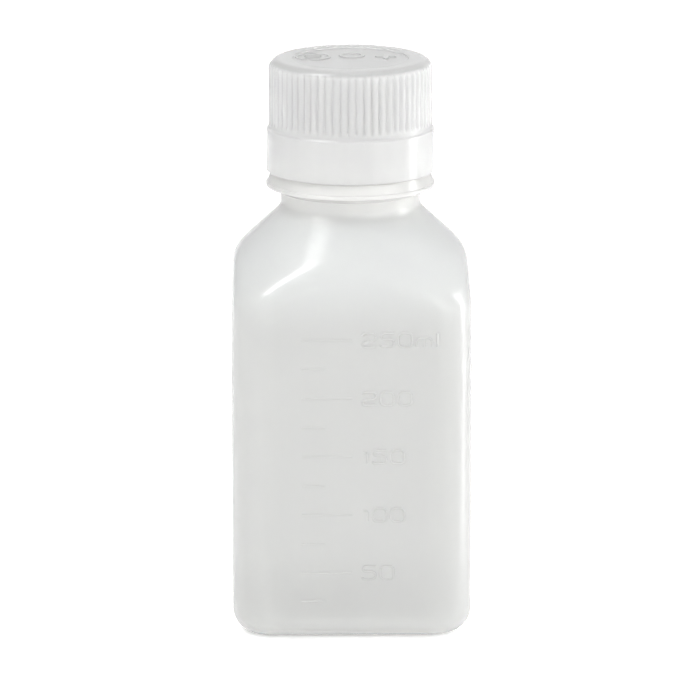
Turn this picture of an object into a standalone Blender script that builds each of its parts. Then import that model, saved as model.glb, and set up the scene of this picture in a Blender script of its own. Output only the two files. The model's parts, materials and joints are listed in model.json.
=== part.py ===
"""Square wide-neck laboratory bottle for 250 ml, with a ribbed screw cap and a loose sealing liner.

The bottle stands on the XY plane, its axis is Z and its graduated face looks towards -Y.
The cap is modelled screwed down: one turn of it lifts it by THREAD_PITCH along Z.
"""
import math

import bmesh
import bpy
from mathutils import Matrix

MM = 0.001

# ---- Clearances ------------------------------------------------------------
TOUCH_GAP = 0.3 * MM            # left between two pieces that rest on each other
THREAD_RADIAL_PLAY = 0.45 * MM  # from a thread's crest to the wall that it faces
LINER_SIDE_PLAY = 0.65 * MM     # from the liner's edge to the cap's wall
SKIRT_CLEARANCE = 0.9 * MM      # from the bead up to the lower edge of the closed cap

# ---- Body of the bottle ----------------------------------------------------
BODY_WIDTH = 61.0 * MM          # across the flats, where the sides are widest
WIDEST_SHARE = 0.61             # height of the widest place, as a part of SHOULDER_TOP
BODY_TAPER = 0.15 * MM          # how far each side has come in at the base
UPPER_TAPER = 1.3 * MM          # how far each side would have come in at SHOULDER_TOP
CORNER_RADIUS = 10.5 * MM
BASE_EDGE_RADIUS = 6.4 * MM
BODY_WALL = 1.35 * MM
BASE_RECESS_DEPTH = 0.9 * MM
STANDING_BAND = 5.5 * MM        # flat band that the bottle stands on, around the recess
SHOULDER_TOP = 107.0 * MM       # height at which the shoulder meets the neck
SHOULDER_ANGLE = math.radians(47.3)  # between the shoulder's cone and the axis
SHOULDER_BLEND = 4.0 * MM       # how softly the cone runs into the flat sides

# ---- Neck ------------------------------------------------------------------
NECK_RADIUS = 17.75 * MM
NECK_WALL = 1.6 * MM
NECK_FILLET = 1.2 * MM
NECK_STUB = 3.7 * MM            # plain neck between the shoulder and the bead
BEAD_HEIGHT = 4.5 * MM
BEAD_RIM_HEIGHT = 1.2 * MM
BEAD_RIM_ROUND = 0.4 * MM
BEAD_OVERHANG = 0.1 * MM        # how far the bead stands out past the cap's skirt
FINISH_HEIGHT = 26.2 * MM       # from the top of the bead to the sealing rim
RIM_ROUND = 0.45 * MM

# ---- Thread, shared by neck and cap ----------------------------------------
THREAD_PITCH = 4.233 * MM
THREAD_DEPTH = 1.1 * MM
THREAD_BASE_WIDTH = 1.9 * MM
THREAD_CREST_WIDTH = 0.8 * MM
THREAD_FADE_TURNS = 0.12        # each end runs into the wall over this part of a turn
THREAD_SINK = 0.35 * MM         # how deep the root of a ridge is joined to its wall
THREAD_STEPS_PER_TURN = 36
NECK_THREAD_START = 3.8 * MM    # above the top of the bead
NECK_THREAD_END = 6.5 * MM      # below the sealing rim
NECK_THREAD_ANGLE = math.radians(147.0)
CAP_THREAD_LEAD = 0.75          # turns by which the cap's thread starts above the neck's
CAP_THREAD_TURNS = 2.0

# ---- Graduations -----------------------------------------------------------
LONG_MARK_STEP = 50             # millilitres between two long marks
SHORT_MARK_STEP = 25
GRADUATION_ZERO = 2.7 * MM      # height at which the bottle starts to count
MARK_LEFT_END = -12.0 * MM
LONG_MARK_LENGTH = 13.4 * MM
SHORT_MARK_LENGTH = 6.0 * MM
MARK_LINE_WIDTH = 0.55 * MM
MARK_RELIEF = 0.3 * MM
MILLILITRE = 1.0e-6             # in cubic metres

# ---- Screw cap -------------------------------------------------------------
CAP_SKIRT_WALL = 2.1 * MM
CAP_TOP_WALL = 1.6 * MM
CAP_TOP_ROUND = 2.8 * MM
CAP_TOP_LAND = 3.45 * MM        # flat ring between the rounded edge and the recess
CAP_TOP_RECESS_DEPTH = 0.35 * MM
SKIRT_HEIGHT = 10.7 * MM        # smooth part below the ribs
SKIRT_DRAFT = 0.1 * MM          # how much narrower the smooth part is at its top
SKIRT_EDGE = 0.35 * MM
RIB_COUNT = 64
RIB_SETBACK = 0.56 * MM         # how far the rib crests stand inside the skirt
RIB_DEPTH = 0.5 * MM
RIB_RUN_OUT = 2.8 * MM          # height over which a groove comes out at the skirt
GROOVE_ROOT_WIDTH = 0.45 * MM
GROOVE_MOUTH_WIDTH = 1.25 * MM
LINER_BEAD_REACH = 0.35 * MM    # how far the inner bead reaches under the liner
LINER_BEAD_HEIGHT = 0.9 * MM

# ---- Liner -----------------------------------------------------------------
LINER_THICKNESS = 1.4 * MM
LINER_EDGE = 0.3 * MM

# ---- Fineness of the round shapes ------------------------------------------
OCTANT_STEPS = 6
CORNER_CROWDING = 1.4           # above 1, the steps are closer together near the corners
ROUND_STEPS = 4
SHOULDER_STEPS = 11
UPPER_TAPER_STEPS = 2

# ---- Sizes that follow from the ones above ---------------------------------
BEAD_BOTTOM = SHOULDER_TOP + NECK_STUB
BEAD_TOP = BEAD_BOTTOM + BEAD_HEIGHT
RIM_TOP = BEAD_TOP + FINISH_HEIGHT
BORE_RADIUS = NECK_RADIUS - NECK_WALL
NECK_THREAD_RADIUS = NECK_RADIUS + THREAD_DEPTH
CAP_BORE_RADIUS = NECK_THREAD_RADIUS + THREAD_RADIAL_PLAY
CAP_THREAD_RADIUS = NECK_RADIUS + THREAD_RADIAL_PLAY
SKIRT_RADIUS = CAP_BORE_RADIUS + CAP_SKIRT_WALL
RIB_RADIUS = SKIRT_RADIUS - RIB_SETBACK
BEAD_RADIUS = SKIRT_RADIUS + BEAD_OVERHANG
LINER_RADIUS = CAP_BORE_RADIUS - LINER_SIDE_PLAY
LINER_BOTTOM = RIM_TOP + TOUCH_GAP
LINER_TOP = LINER_BOTTOM + LINER_THICKNESS
CAP_CEILING = LINER_TOP + TOUCH_GAP
CAP_TOP = CAP_CEILING + CAP_TOP_WALL
CAP_BOTTOM = BEAD_TOP + SKIRT_CLEARANCE
CAP_TOP_RECESS_RADIUS = RIB_RADIUS - CAP_TOP_ROUND - CAP_TOP_LAND
SKIRT_TOP = CAP_BOTTOM + SKIRT_HEIGHT
NECK_THREAD_BOTTOM = BEAD_TOP + NECK_THREAD_START
NECK_THREAD_TURNS = (RIM_TOP - NECK_THREAD_END - NECK_THREAD_BOTTOM) / THREAD_PITCH


def clear_scene():
    """Remove every object, so that the model starts from an empty scene."""
    for scene_object in list(bpy.data.objects):
        bpy.data.objects.remove(scene_object, do_unlink=True)


def new_collection(name):
    collection = bpy.data.collections.new(name)
    bpy.context.scene.collection.children.link(collection)
    return collection


def plastic(name, colour, roughness):
    """A moulded plastic with one colour and one roughness."""
    material = bpy.data.materials.new(name)
    material.use_nodes = True
    shader = material.node_tree.nodes["Principled BSDF"]
    shader.inputs["Base Color"].default_value = (*colour, 1.0)
    shader.inputs["Roughness"].default_value = roughness
    shader.inputs["Metallic"].default_value = 0.0
    material.diffuse_color = (*colour, 1.0)
    return material


def object_from_bmesh(name, shape, collection, material=None):
    """Write a bmesh into a new object, with its faces turned outwards."""
    bmesh.ops.recalc_face_normals(shape, faces=shape.faces)
    mesh = bpy.data.meshes.new(name)
    shape.to_mesh(mesh)
    shape.free()
    made = bpy.data.objects.new(name, mesh)
    collection.objects.link(made)
    if material:
        mesh.materials.append(material)
    return made


def shade_round(made):
    made.data.shade_smooth()
    made.data.set_sharp_from_angle(angle=math.radians(35))


def combine(target, other, operation):
    """Add a Boolean to target, and show its other object as a wire guide only."""
    boolean = target.modifiers.new(other.name, "BOOLEAN")
    boolean.operation = operation
    boolean.object = other
    other.hide_render = True
    other.display_type = "WIRE"


# ---- Shapes of the moulded body --------------------------------------------

def smooth_min(a, b, blend):
    """The smaller of two values, rounded off where they cross."""
    share = min(max(0.5 + 0.5 * (b - a) / blend, 0.0), 1.0)
    return b + (a - b) * share - blend * share * (1.0 - share)


def smooth_max(a, b, blend):
    return -smooth_min(-a, -b, blend)


def rounded_square_radius(angle, half_width, corner_radius):
    """Distance from the axis to a rounded square's outline, in the direction of angle."""
    from_face = abs((angle + math.pi / 4) % (math.pi / 2) - math.pi / 4)
    cosine = math.cos(from_face)
    sine = math.sin(from_face)
    flat_end = half_width - corner_radius
    if half_width / cosine * sine <= flat_end:
        return half_width / cosine
    reach = flat_end * (cosine + sine)
    return reach + math.sqrt(max(reach ** 2 - 2 * flat_end ** 2 + corner_radius ** 2, 0.0))


def half_width_at(height):
    """Half the body's outer width, which narrows towards the base and towards the shoulder."""
    widest = WIDEST_SHARE * SHOULDER_TOP
    fall = max(0.0, widest - height) / widest
    rise = max(0.0, height - widest) / (SHOULDER_TOP - widest)
    return BODY_WIDTH / 2 - BODY_TAPER * fall - UPPER_TAPER * rise ** 2


def side_radius(angle, height, wall, neck_radius):
    """Radius of the side, shoulder and neck: of the outer skin with no wall, of the inner one with it."""
    flats = rounded_square_radius(angle, half_width_at(height) - wall, CORNER_RADIUS - wall)
    cone_top = NECK_RADIUS - wall / math.cos(SHOULDER_ANGLE)
    cone = cone_top + (SHOULDER_TOP - height) * math.tan(SHOULDER_ANGLE)
    shoulder = smooth_min(flats, cone, SHOULDER_BLEND)
    return smooth_max(shoulder, neck_radius, NECK_FILLET)


def loft_angles():
    """Directions of the loft's points, closer together towards the four corners."""
    angles = []
    for face in range(4):
        for step in range(2 * OCTANT_STEPS):
            share = step / OCTANT_STEPS - 1.0
            bend = 1.0 - (1.0 - abs(share)) ** CORNER_CROWDING
            angles.append(face * math.pi / 2 + math.copysign(bend, share) * math.pi / 4)
    return angles


def ring_points(radius_at, height):
    """One ring of the loft, from a function that gives its radius in each direction."""
    points = []
    for angle in loft_angles():
        radius = radius_at(angle)
        points.append((radius * math.cos(angle), radius * math.sin(angle), height))
    return points


def square_ring(height, half_width, corner_radius):
    return ring_points(lambda angle: rounded_square_radius(angle, half_width, corner_radius), height)


def side_ring(height, wall, neck_radius):
    return ring_points(lambda angle: side_radius(angle, height, wall, neck_radius), height)


def round_ring(height, radius):
    return ring_points(lambda angle: radius, height)


def base_edge_rings(bottom, wall, edge_radius):
    """The rounded edge between the bottom and the sides, from the bottom upwards."""
    rings = []
    for step in range(ROUND_STEPS + 1):
        turn = step / ROUND_STEPS * math.pi / 2
        height = bottom + edge_radius * (1.0 - math.cos(turn))
        inset = wall + edge_radius * (1.0 - math.sin(turn))
        rings.append(square_ring(height, half_width_at(height) - inset, CORNER_RADIUS - inset))
    return rings


def shoulder_bottom():
    """Height at which the corners start to bend towards the neck."""
    corner_reach = rounded_square_radius(math.pi / 4, BODY_WIDTH / 2, CORNER_RADIUS)
    drop = (corner_reach + SHOULDER_BLEND - NECK_RADIUS) / math.tan(SHOULDER_ANGLE)
    return SHOULDER_TOP - drop


def evenly(first, last, steps):
    return [first + (last - first) * step / steps for step in range(steps + 1)]


def upper_heights():
    """Heights of the rings from the widest place up to the plain neck."""
    taper = evenly(WIDEST_SHARE * SHOULDER_TOP, shoulder_bottom(), UPPER_TAPER_STEPS)
    return taper[:-1] + evenly(shoulder_bottom(), SHOULDER_TOP + NECK_FILLET, SHOULDER_STEPS)


def neck_outline():
    """Radius and height along the outside of the neck, from the bead up to the sealing rim."""
    rim_middle = BEAD_BOTTOM + BEAD_HEIGHT * 0.45
    rim_low = rim_middle - BEAD_RIM_HEIGHT / 2
    rim_high = rim_middle + BEAD_RIM_HEIGHT / 2
    return [
        (NECK_RADIUS, BEAD_BOTTOM),
        (BEAD_RADIUS - BEAD_RIM_ROUND, rim_low),
        (BEAD_RADIUS, rim_low + BEAD_RIM_ROUND),
        (BEAD_RADIUS, rim_high - BEAD_RIM_ROUND),
        (BEAD_RADIUS - BEAD_RIM_ROUND, rim_high),
        (NECK_RADIUS, BEAD_TOP),
        (NECK_RADIUS, RIM_TOP - RIM_ROUND),
        (NECK_RADIUS - RIM_ROUND, RIM_TOP),
        (BORE_RADIUS + RIM_ROUND, RIM_TOP),
        (BORE_RADIUS, RIM_TOP - RIM_ROUND),
    ]


def bottle_rings():
    """All rings of the bottle, from the middle of the base, over the outside and rim, to the floor."""
    flat_half_width = half_width_at(0.0) - BASE_EDGE_RADIUS
    flat_corner = CORNER_RADIUS - BASE_EDGE_RADIUS
    recess_half_width = flat_half_width - STANDING_BAND
    floor = BASE_RECESS_DEPTH + BODY_WALL
    rings = [
        square_ring(BASE_RECESS_DEPTH, recess_half_width - BASE_RECESS_DEPTH, flat_corner),
        square_ring(0.0, recess_half_width, flat_corner),
    ]
    rings += base_edge_rings(0.0, 0.0, BASE_EDGE_RADIUS)
    heights = upper_heights()
    rings += [side_ring(height, 0.0, NECK_RADIUS) for height in heights]
    rings += [round_ring(height, radius) for radius, height in neck_outline()]
    rings += [side_ring(height, BODY_WALL, BORE_RADIUS) for height in reversed(heights)]
    rings += reversed(base_edge_rings(floor, BODY_WALL, BASE_EDGE_RADIUS - BODY_WALL))
    return rings


def loft(name, rings, collection, material):
    """Skin a list of rings with the same number of points each, and close both ends."""
    shape = bmesh.new()
    rows = [[shape.verts.new(point) for point in ring] for ring in rings]
    for lower, upper in zip(rows, rows[1:]):
        for index in range(len(lower)):
            following = (index + 1) % len(lower)
            shape.faces.new((lower[index], lower[following], upper[following], upper[index]))
    shape.faces.new(rows[0])
    shape.faces.new(rows[-1])
    return object_from_bmesh(name, shape, collection, material)


# ---- Threads ---------------------------------------------------------------

def thread_ridge(name, wall_radius, crest_radius, turns, bottom, start_angle, collection):
    """A right-hand helical ridge, its root sunk in a wall and both its ends fading into it.

    It stands outwards when the crest is wider than the wall, and inwards when it is narrower.
    """
    outwards = math.copysign(1.0, crest_radius - wall_radius)
    root_radius = wall_radius - outwards * THREAD_SINK
    hidden_radius = wall_radius - outwards * THREAD_SINK / 2
    shape = bmesh.new()
    rows = []
    steps = round(turns * THREAD_STEPS_PER_TURN)
    for step in range(steps + 1):
        turn = turns * step / steps
        strength = min(1.0, turn / THREAD_FADE_TURNS, (turns - turn) / THREAD_FADE_TURNS)
        crest = hidden_radius + (crest_radius - hidden_radius) * strength
        angle = start_angle + 2 * math.pi * turn
        height = bottom + THREAD_PITCH * turn
        section = [
            (root_radius, -THREAD_BASE_WIDTH / 2),
            (crest, -THREAD_CREST_WIDTH / 2),
            (crest, THREAD_CREST_WIDTH / 2),
            (root_radius, THREAD_BASE_WIDTH / 2),
        ]
        rows.append([
            shape.verts.new((radius * math.cos(angle), radius * math.sin(angle), height + rise))
            for radius, rise in section
        ])
    for row, following_row in zip(rows, rows[1:]):
        for index in range(4):
            following = (index + 1) % 4
            shape.faces.new((row[index], row[following], following_row[following], following_row[index]))
    shape.faces.new(rows[0])
    shape.faces.new(rows[-1])
    return object_from_bmesh(name, shape, collection)


def flank_offset():
    """Distance between the centres of two ridges whose flanks have TOUCH_GAP between them."""
    flank_slope = (THREAD_BASE_WIDTH - THREAD_CREST_WIDTH) / 2 / (THREAD_DEPTH + THREAD_SINK)
    facing_depth = NECK_THREAD_RADIUS - CAP_THREAD_RADIUS
    return THREAD_CREST_WIDTH + flank_slope * facing_depth + TOUCH_GAP


# ---- Bottle ----------------------------------------------------------------

def graduation_height(volume):
    """Height of the mark for a volume in millilitres, from the area of the inner section."""
    inner_width = BODY_WIDTH - BODY_TAPER - 2 * BODY_WALL
    inner_corner = CORNER_RADIUS - BODY_WALL
    area = inner_width ** 2 - (4.0 - math.pi) * inner_corner ** 2
    return GRADUATION_ZERO + volume * MILLILITRE / area


def graduation_marks(collection):
    """Raised lines on the -Y face, up to its top: long at each labelled volume and short in between."""
    flat_top = shoulder_bottom()
    shape = bmesh.new()
    volume = SHORT_MARK_STEP
    while graduation_height(volume) < flat_top:
        length = LONG_MARK_LENGTH if volume % LONG_MARK_STEP == 0 else SHORT_MARK_LENGTH
        height = graduation_height(volume)
        face = -half_width_at(height)
        size = (length, MARK_RELIEF + BODY_WALL / 2, MARK_LINE_WIDTH)
        middle = (MARK_LEFT_END + length / 2, face - MARK_RELIEF + size[1] / 2, height)
        place = Matrix.Translation(middle) @ Matrix.Diagonal((*size, 1.0))
        bmesh.ops.create_cube(shape, size=1.0, matrix=place)
        volume += SHORT_MARK_STEP
    return object_from_bmesh("graduation_marks", shape, collection)


def make_bottle(parts, guides, material):
    bottle = loft("bottle", bottle_rings(), parts, material)
    thread = thread_ridge("neck_thread", NECK_RADIUS, NECK_THREAD_RADIUS, NECK_THREAD_TURNS,
                          NECK_THREAD_BOTTOM, NECK_THREAD_ANGLE, guides)
    combine(bottle, thread, "UNION")
    combine(bottle, graduation_marks(guides), "UNION")
    shade_round(bottle)
    return bottle


# ---- Turned pieces ---------------------------------------------------------

def turned(name, outline, collection, material, steps):
    """Turn an outline of (radius, height) pairs, which starts and ends on the axis, around Z."""
    mesh = bpy.data.meshes.new(name)
    points = [(radius, 0.0, height) for radius, height in outline]
    mesh.from_pydata(points, [(index, index + 1) for index in range(len(points) - 1)], [])
    mesh.materials.append(material)
    made = bpy.data.objects.new(name, mesh)
    collection.objects.link(made)
    screw = made.modifiers.new("turn", "SCREW")
    screw.steps = steps
    screw.render_steps = steps
    screw.use_merge_vertices = True
    screw.merge_threshold = 0.00001
    screw.use_smooth_shade = True
    return made


def quarter_round(centre_radius, centre_height, radius):
    """Points of a convex quarter arc, from the top of the arc outwards and down to its side."""
    points = []
    for step in range(ROUND_STEPS + 1):
        turn = step / ROUND_STEPS * math.pi / 2
        points.append((centre_radius + radius * math.sin(turn), centre_height + radius * math.cos(turn)))
    return points


def cap_outline():
    """Outline of the cap without ribs and thread: over the top, down the outside, up the inside."""
    recess_floor = CAP_TOP - CAP_TOP_RECESS_DEPTH
    bead_radius = LINER_RADIUS - LINER_BEAD_REACH
    bead_top = LINER_BOTTOM - TOUCH_GAP
    bead_bottom = bead_top - LINER_BEAD_HEIGHT
    bead_slope = CAP_BORE_RADIUS - bead_radius
    top = [
        (0.0, recess_floor),
        (CAP_TOP_RECESS_RADIUS, recess_floor),
        (CAP_TOP_RECESS_RADIUS + CAP_TOP_RECESS_DEPTH, CAP_TOP),
    ]
    edge = quarter_round(RIB_RADIUS - CAP_TOP_ROUND, CAP_TOP - CAP_TOP_ROUND, CAP_TOP_ROUND)
    outside = [
        (RIB_RADIUS, SKIRT_TOP + RIB_SETBACK),
        (SKIRT_RADIUS - SKIRT_DRAFT, SKIRT_TOP),
        (SKIRT_RADIUS, CAP_BOTTOM + SKIRT_EDGE),
        (SKIRT_RADIUS - SKIRT_EDGE, CAP_BOTTOM),
    ]
    inside = [
        (CAP_BORE_RADIUS + SKIRT_EDGE, CAP_BOTTOM),
        (CAP_BORE_RADIUS, CAP_BOTTOM + SKIRT_EDGE),
        (CAP_BORE_RADIUS, bead_bottom - bead_slope),
        (bead_radius, bead_bottom),
        (bead_radius, bead_top),
        (CAP_BORE_RADIUS, bead_top),
        (CAP_BORE_RADIUS, CAP_CEILING),
        (0.0, CAP_CEILING),
    ]
    return top + edge + outside + inside


def groove_cutters(collection):
    """One wedge for each groove between two ribs; its slanted foot comes out above the skirt."""
    root = RIB_RADIUS - RIB_DEPTH
    mouth = SKIRT_RADIUS + RIB_DEPTH
    foot_slope = RIB_RUN_OUT / (SKIRT_RADIUS - root)
    root_foot = SKIRT_TOP + RIB_RUN_OUT
    mouth_foot = root_foot - foot_slope * (mouth - root)
    widening = (GROOVE_MOUTH_WIDTH - GROOVE_ROOT_WIDTH) / RIB_DEPTH
    mouth_width = GROOVE_ROOT_WIDTH + widening * (mouth - root)
    above = CAP_TOP + RIB_DEPTH
    shape = bmesh.new()
    for index in range(RIB_COUNT):
        wedge = bmesh.ops.create_cube(shape, size=1.0)["verts"]
        for corner in wedge:
            outer = corner.co.x > 0
            upper = corner.co.z > 0
            width = mouth_width if outer else GROOVE_ROOT_WIDTH
            foot = mouth_foot if outer else root_foot
            corner.co = (mouth if outer else root, math.copysign(width / 2, corner.co.y),
                         above if upper else foot)
        turn = Matrix.Rotation(2 * math.pi * (index + 0.5) / RIB_COUNT, 4, "Z")
        bmesh.ops.transform(shape, matrix=turn, verts=wedge)
    return object_from_bmesh("rib_grooves", shape, collection)


def make_cap(parts, guides, material):
    cap = turned("screw_cap", cap_outline(), parts, material, RIB_COUNT)
    combine(cap, groove_cutters(guides), "DIFFERENCE")
    bottom = NECK_THREAD_BOTTOM + THREAD_PITCH * CAP_THREAD_LEAD - flank_offset()
    thread = thread_ridge("cap_thread", CAP_BORE_RADIUS, CAP_THREAD_RADIUS, CAP_THREAD_TURNS,
                          bottom, NECK_THREAD_ANGLE + 2 * math.pi * CAP_THREAD_LEAD, guides)
    combine(cap, thread, "UNION")
    return cap


def make_liner(parts, material):
    outline = [
        (0.0, LINER_TOP),
        (LINER_RADIUS - LINER_EDGE, LINER_TOP),
        (LINER_RADIUS, LINER_TOP - LINER_EDGE),
        (LINER_RADIUS, LINER_BOTTOM + LINER_EDGE),
        (LINER_RADIUS - LINER_EDGE, LINER_BOTTOM),
        (0.0, LINER_BOTTOM),
    ]
    return turned("cap_liner", outline, parts, material, RIB_COUNT)


def main():
    clear_scene()
    parts = new_collection("square_lab_bottle")
    guides = new_collection("cutters")
    make_bottle(parts, guides, plastic("bottle_plastic", (0.84, 0.86, 0.85), 0.42))
    make_cap(parts, guides, plastic("cap_plastic", (0.80, 0.84, 0.83), 0.28))
    make_liner(parts, plastic("liner_plastic", (0.88, 0.89, 0.88), 0.5))


main()
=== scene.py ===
import json
import math

import bmesh
import bpy
import numpy as np
from bpy.props import FloatProperty, FloatVectorProperty, IntProperty, PointerProperty
from mathutils import Matrix, Vector


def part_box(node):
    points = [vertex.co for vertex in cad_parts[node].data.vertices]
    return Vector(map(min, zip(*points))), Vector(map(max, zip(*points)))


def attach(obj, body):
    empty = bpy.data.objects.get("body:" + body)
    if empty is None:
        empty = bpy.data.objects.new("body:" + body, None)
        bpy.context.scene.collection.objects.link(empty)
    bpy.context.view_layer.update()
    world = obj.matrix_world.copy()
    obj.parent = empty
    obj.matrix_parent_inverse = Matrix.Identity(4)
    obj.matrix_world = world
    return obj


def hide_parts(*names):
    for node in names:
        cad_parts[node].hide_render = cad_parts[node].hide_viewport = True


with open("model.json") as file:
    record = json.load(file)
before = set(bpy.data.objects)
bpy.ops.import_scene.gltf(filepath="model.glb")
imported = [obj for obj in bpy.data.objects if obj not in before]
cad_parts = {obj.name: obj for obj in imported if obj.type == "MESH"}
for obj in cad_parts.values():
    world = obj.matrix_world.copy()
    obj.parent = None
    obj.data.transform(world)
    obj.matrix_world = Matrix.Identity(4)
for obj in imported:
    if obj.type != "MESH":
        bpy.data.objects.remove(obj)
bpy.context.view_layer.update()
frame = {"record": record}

bl_info = {
    "name": "Square laboratory bottle",
    "version": (1, 0, 0),
    "blender": (4, 5, 0),
    "location": "View3D > Sidebar > Lab bottle",
    "description": "Builds a square graduated bottle with a ribbed cap around its packed frame",
    "category": "Add Mesh",
}

MM = 0.001
MILLILITRE = 1.0e-6

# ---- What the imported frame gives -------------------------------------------
BOTTLE_LOW, BOTTLE_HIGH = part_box("bottle")
CAP_LOW, CAP_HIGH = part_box("screw_cap")
LINER_LOW, LINER_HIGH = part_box("cap_liner")
LIFT_PER_TURN = 2 * math.pi * frame["record"]["behaviour"]["couplings"][0]["ratio"]


def length(name, default, description):
    """A size in metres that a user may change."""
    return FloatProperty(name=name, description=description, default=default, unit="LENGTH",
                         precision=5)


def colour(name, default, description):
    return FloatVectorProperty(name=name, description=description, default=default, size=3,
                               min=0.0, max=1.0, subtype="COLOR")


def factor(name, default, description):
    return FloatProperty(name=name, description=description, default=default, min=0.0, max=1.0,
                         subtype="FACTOR")


def direction(name, degrees, description):
    return FloatProperty(name=name, description=description, default=math.radians(degrees),
                         unit="ROTATION")


def count(name, default, description):
    return IntProperty(name=name, description=description, default=default)


# ---- Sizes and colours that a user may change ------------------------------

class BottleSizes(bpy.types.PropertyGroup):
    width: length("Width", 61.0 * MM, "Across the flats, where the sides are widest")
    widest: factor("Widest place", 0.61, "Its height, as a part of the shoulder's top")
    taper: length("Lower taper", 0.15 * MM, "How far each side has come in at the base")
    upper_taper: length("Upper taper", 1.3 * MM, "How far each side would come in at the top")
    corner_radius: length("Corner radius", 10.5 * MM, "Radius of the four upright corners")
    base_edge_radius: length("Base edge radius", 6.4 * MM, "Radius between base and sides")
    wall: length("Wall", 1.35 * MM, "Thickness of the blown wall")
    recess_depth: length("Base recess", 0.9 * MM, "Depth of the recess in the base")
    standing_band: length("Standing band", 5.5 * MM, "Width of the flat band around the recess")
    shoulder_top: length("Shoulder top", 107.0 * MM, "Height at which the shoulder meets the neck")
    shoulder_angle: direction("Shoulder angle", 47.3, "Between the cone and the axis")
    shoulder_blend: length("Shoulder blend", 4.0 * MM, "How softly the cone runs into the sides")
    panel_bow: length("Panel bow", 0.12 * MM, "How far the middle of each side sinks in")


class NeckSizes(bpy.types.PropertyGroup):
    radius: length("Neck radius", 17.75 * MM, "Outer radius of the plain neck")
    wall: length("Neck wall", 1.6 * MM, "Thickness of the neck")
    fillet: length("Neck fillet", 1.2 * MM, "Rounding between shoulder and neck")
    stub: length("Neck stub", 3.7 * MM, "Plain neck between shoulder and bead")
    bead_height: length("Bead height", 4.5 * MM, "Height of the moulded bead")
    bead_rim: length("Bead rim", 1.2 * MM, "Height of the bead's outer rim")
    bead_overhang: length("Bead overhang", 0.1 * MM, "How far the bead stands out past the cap")
    bead_lip: length("Bead lip", 1.0 * MM, "How far the bead's top stands inside the cap's skirt")
    bead_gap: length("Bead gap", 0.12 * MM, "Between the bead's top and the closed cap")
    thread_start: length("Thread start", 3.8 * MM, "Start of the thread above the bead")
    thread_end: length("Thread end", 6.5 * MM, "End of the thread below the rim")
    thread_depth: length("Thread depth", 1.1 * MM, "Height of the thread's ridge")
    thread_base: length("Thread base", 1.9 * MM, "Width of the ridge at its root")
    thread_crest: length("Thread crest", 0.8 * MM, "Width of the ridge at its crest")
    thread_angle: direction("Thread angle", 147.0, "Direction in which the thread starts")


class MarkSizes(bpy.types.PropertyGroup):
    capacity: count("Capacity", 250, "Top mark in millilitres")
    long_step: count("Long step", 50, "Millilitres between long marks")
    zero: length("Zero", 2.7 * MM, "Height at which the bottle starts to count")
    left_end: length("Left end", -13.0 * MM, "Left end of the marks")
    long_line: length("Long line", 12.8 * MM, "Length of a long mark")
    short_line: length("Short line", 6.0 * MM, "Length of a short mark")
    stroke: length("Stroke", 0.6 * MM, "Width of a line or stroke at its root")
    relief: length("Relief", 0.24 * MM, "How far the numbers stand out")
    line_relief: length("Line relief", 0.12 * MM, "How far the lines stand out")
    numbers_left: length("Numbers", 2.4 * MM, "Left end of the numbers")
    number_height: length("Number height", 3.4 * MM, "Height of the numbers")
    number_width: length("Number width", 3.4 * MM, "Width of a round number")
    number_gap: length("Number gap", 1.15 * MM, "Space between two numbers")


class CapSizes(bpy.types.PropertyGroup):
    skirt_height: length("Skirt height", 10.7 * MM, "Smooth part below the ribs")
    skirt_draft: length("Skirt draft", 0.1 * MM, "How much narrower the skirt is at its top")
    skirt_wall: length("Skirt wall", 2.1 * MM, "Thickness of the skirt")
    top_wall: length("Top wall", 1.6 * MM, "Thickness of the top")
    top_round: length("Top rounding", 2.8 * MM, "Radius of the top edge")
    top_land: length("Top land", 3.45 * MM, "Flat ring between rounding and recess")
    recess_depth: length("Top recess", 0.35 * MM, "Depth of the recess in the top")
    rib_count: count("Ribs", 64, "Number of grip ribs")
    rib_setback: length("Rib setback", 0.56 * MM, "How far the ribs stand inside the skirt")
    rib_depth: length("Rib depth", 0.5 * MM, "Depth of the grooves between ribs")
    run_out: length("Run-out", 2.8 * MM, "Height over which a groove comes out at the skirt")
    thread_play: length("Thread play", 0.45 * MM, "From a crest to the wall that it faces")
    thread_lead: FloatProperty(name="Thread lead", description="Turns from the neck's thread start",
                               default=0.75)
    thread_turns: FloatProperty(name="Thread turns", description="Turns of the cap's thread",
                                default=2.0)


class Finishes(bpy.types.PropertyGroup):
    bottle: colour("Bottle", (0.762, 0.766, 0.752), "Milky plastic of the bottle's sides")
    # Painted light: the shoulder's lighter colour stands in for the overhead light, and its cool tint
    # is a painted sky reflection.
    shoulder: colour("Shoulder", (0.895, 0.912, 0.908), "Thinner, cooler plastic of the shoulder")
    # Partly the neck's own warmer tone, partly painted light that lifts the neck out of the cap's
    # shade.
    neck: colour("Neck", (0.965, 0.955, 0.92), "The thicker, warmer plastic of the neck")
    cap: colour("Cap", (0.975, 0.98, 0.97), "Translucent plastic of the cap")
    liner: colour("Liner", (0.80, 0.81, 0.80), "Soft plastic of the liner")
    floor: colour("Floor", (0.93, 0.93, 0.93), "Studio floor")
    bottle_clearness: factor("Bottle clearness", 0.55, "Share of light that passes the bottle's wall")
    cap_clearness: factor("Cap clearness", 0.58, "Share of light that passes the cap's wall")


# ---- Arithmetic on node sockets --------------------------------------------

def arithmetic(operation, commutes=False):
    """A method that adds a Math node, and its reflected form."""
    def direct(self, other):
        return self.math(operation, other)

    def reflected(self, other):
        return constant(self.tree, other).math(operation, self)

    return direct, direct if commutes else reflected


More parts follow.
